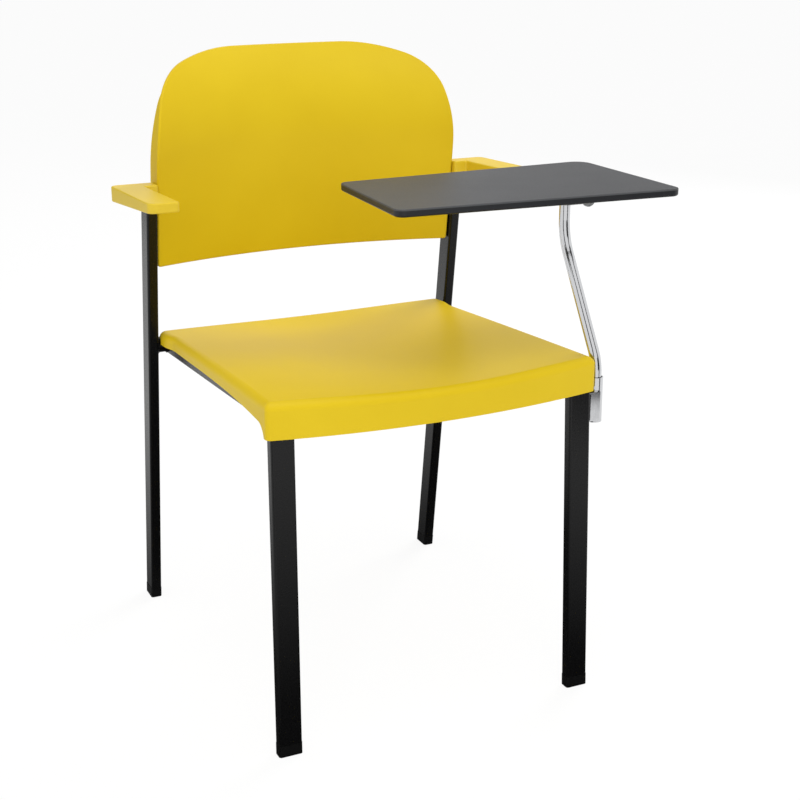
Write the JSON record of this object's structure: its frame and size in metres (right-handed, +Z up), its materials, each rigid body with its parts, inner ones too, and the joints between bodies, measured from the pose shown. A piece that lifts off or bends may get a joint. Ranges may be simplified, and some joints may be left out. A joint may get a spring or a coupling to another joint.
{
  "type": "stacking chair with writing tablet",
  "caption": "Moulded plastic chair on a steel tube frame, with armrests and a writing tablet that swivels and folds on a post.",
  "frame": {"origin": "middle of the footprint, on the floor", "axes": "+Z up, -Y towards the front of the seat, +X towards the sitter's left, where the tablet is"},
  "size_m": [0.6177, 0.5448, 0.81],
  "materials": {
    "yellow_shell": "satin moulded",
    "yellow_arm": "satin moulded",
    "black_tube": "satin powder coat",
    "black_cap": "moulded",
    "black_rubber": "matt",
    "bright_chrome": "bright plated",
    "black_plastic": "moulded",
    "bracket_steel": "dark coated",
    "plated_screw": "zinc plated",
    "tablet_edge": "satin",
    "tablet_face": "fine grained laminate"
  },
  "bodies": {
    "frame": {"arm_screws": "plated_screw", "armrest_left": "yellow_arm", "armrest_right": "yellow_arm", "back_screws": "plated_screw", "back_shell": "yellow_shell", "back_spacers": "black_plastic", "front_cross_tube": "black_tube", "front_foot_cap_left": "black_cap", "front_foot_cap_right": "black_cap", "front_leg_left": "black_tube", "front_leg_right": "black_tube", "leg_plug_left": "black_cap", "leg_plug_right": "black_cap", "post_sleeve": "bright_chrome", "rear_cross_tube": "black_tube", "rear_foot_cap_left": "black_cap", "rear_foot_cap_right": "black_cap", "seat_buffer_front_left": "black_rubber", "seat_buffer_front_right": "black_rubber", "seat_buffer_rear_left": "black_rubber", "seat_buffer_rear_right": "black_rubber", "seat_screws": "plated_screw", "seat_shell": "yellow_shell", "seat_tab_front_left": "black_tube", "seat_tab_front_right": "black_tube", "seat_tab_rear_left": "black_tube", "seat_tab_rear_right": "black_tube", "side_rail_left": "black_tube", "side_rail_right": "black_tube", "sleeve_bush": "black_plastic", "sleeve_cap": "black_plastic", "sleeve_pad": "bright_chrome", "upright_left": "black_tube", "upright_right": "black_tube"},
    "post": {"tablet_post": "bright_chrome", "post_head": "bracket_steel", "stop_pad": "black_rubber"},
    "tablet": {"tablet_leaf": "bracket_steel", "hinge_pin": "plated_screw", "pin_clips": "plated_screw", "tablet_board": "tablet_edge", "tablet_surface": "tablet_face", "tablet_screws": "plated_screw"}
  },
  "joints": [
    {"name": "post_swivel", "type": "hinge", "parent": "frame", "child": "post", "pos_m": [0.20175, -0.2315, 0.365], "axis": [0, 0, 1], "range_deg": [-75, 10]},
    {"name": "tablet_flip", "type": "hinge", "parent": "post", "child": "tablet", "pos_m": [0.22515, -0.1415, 0.6387], "axis": [0, 1, 0], "range_deg": [0, 95]}
  ]
}
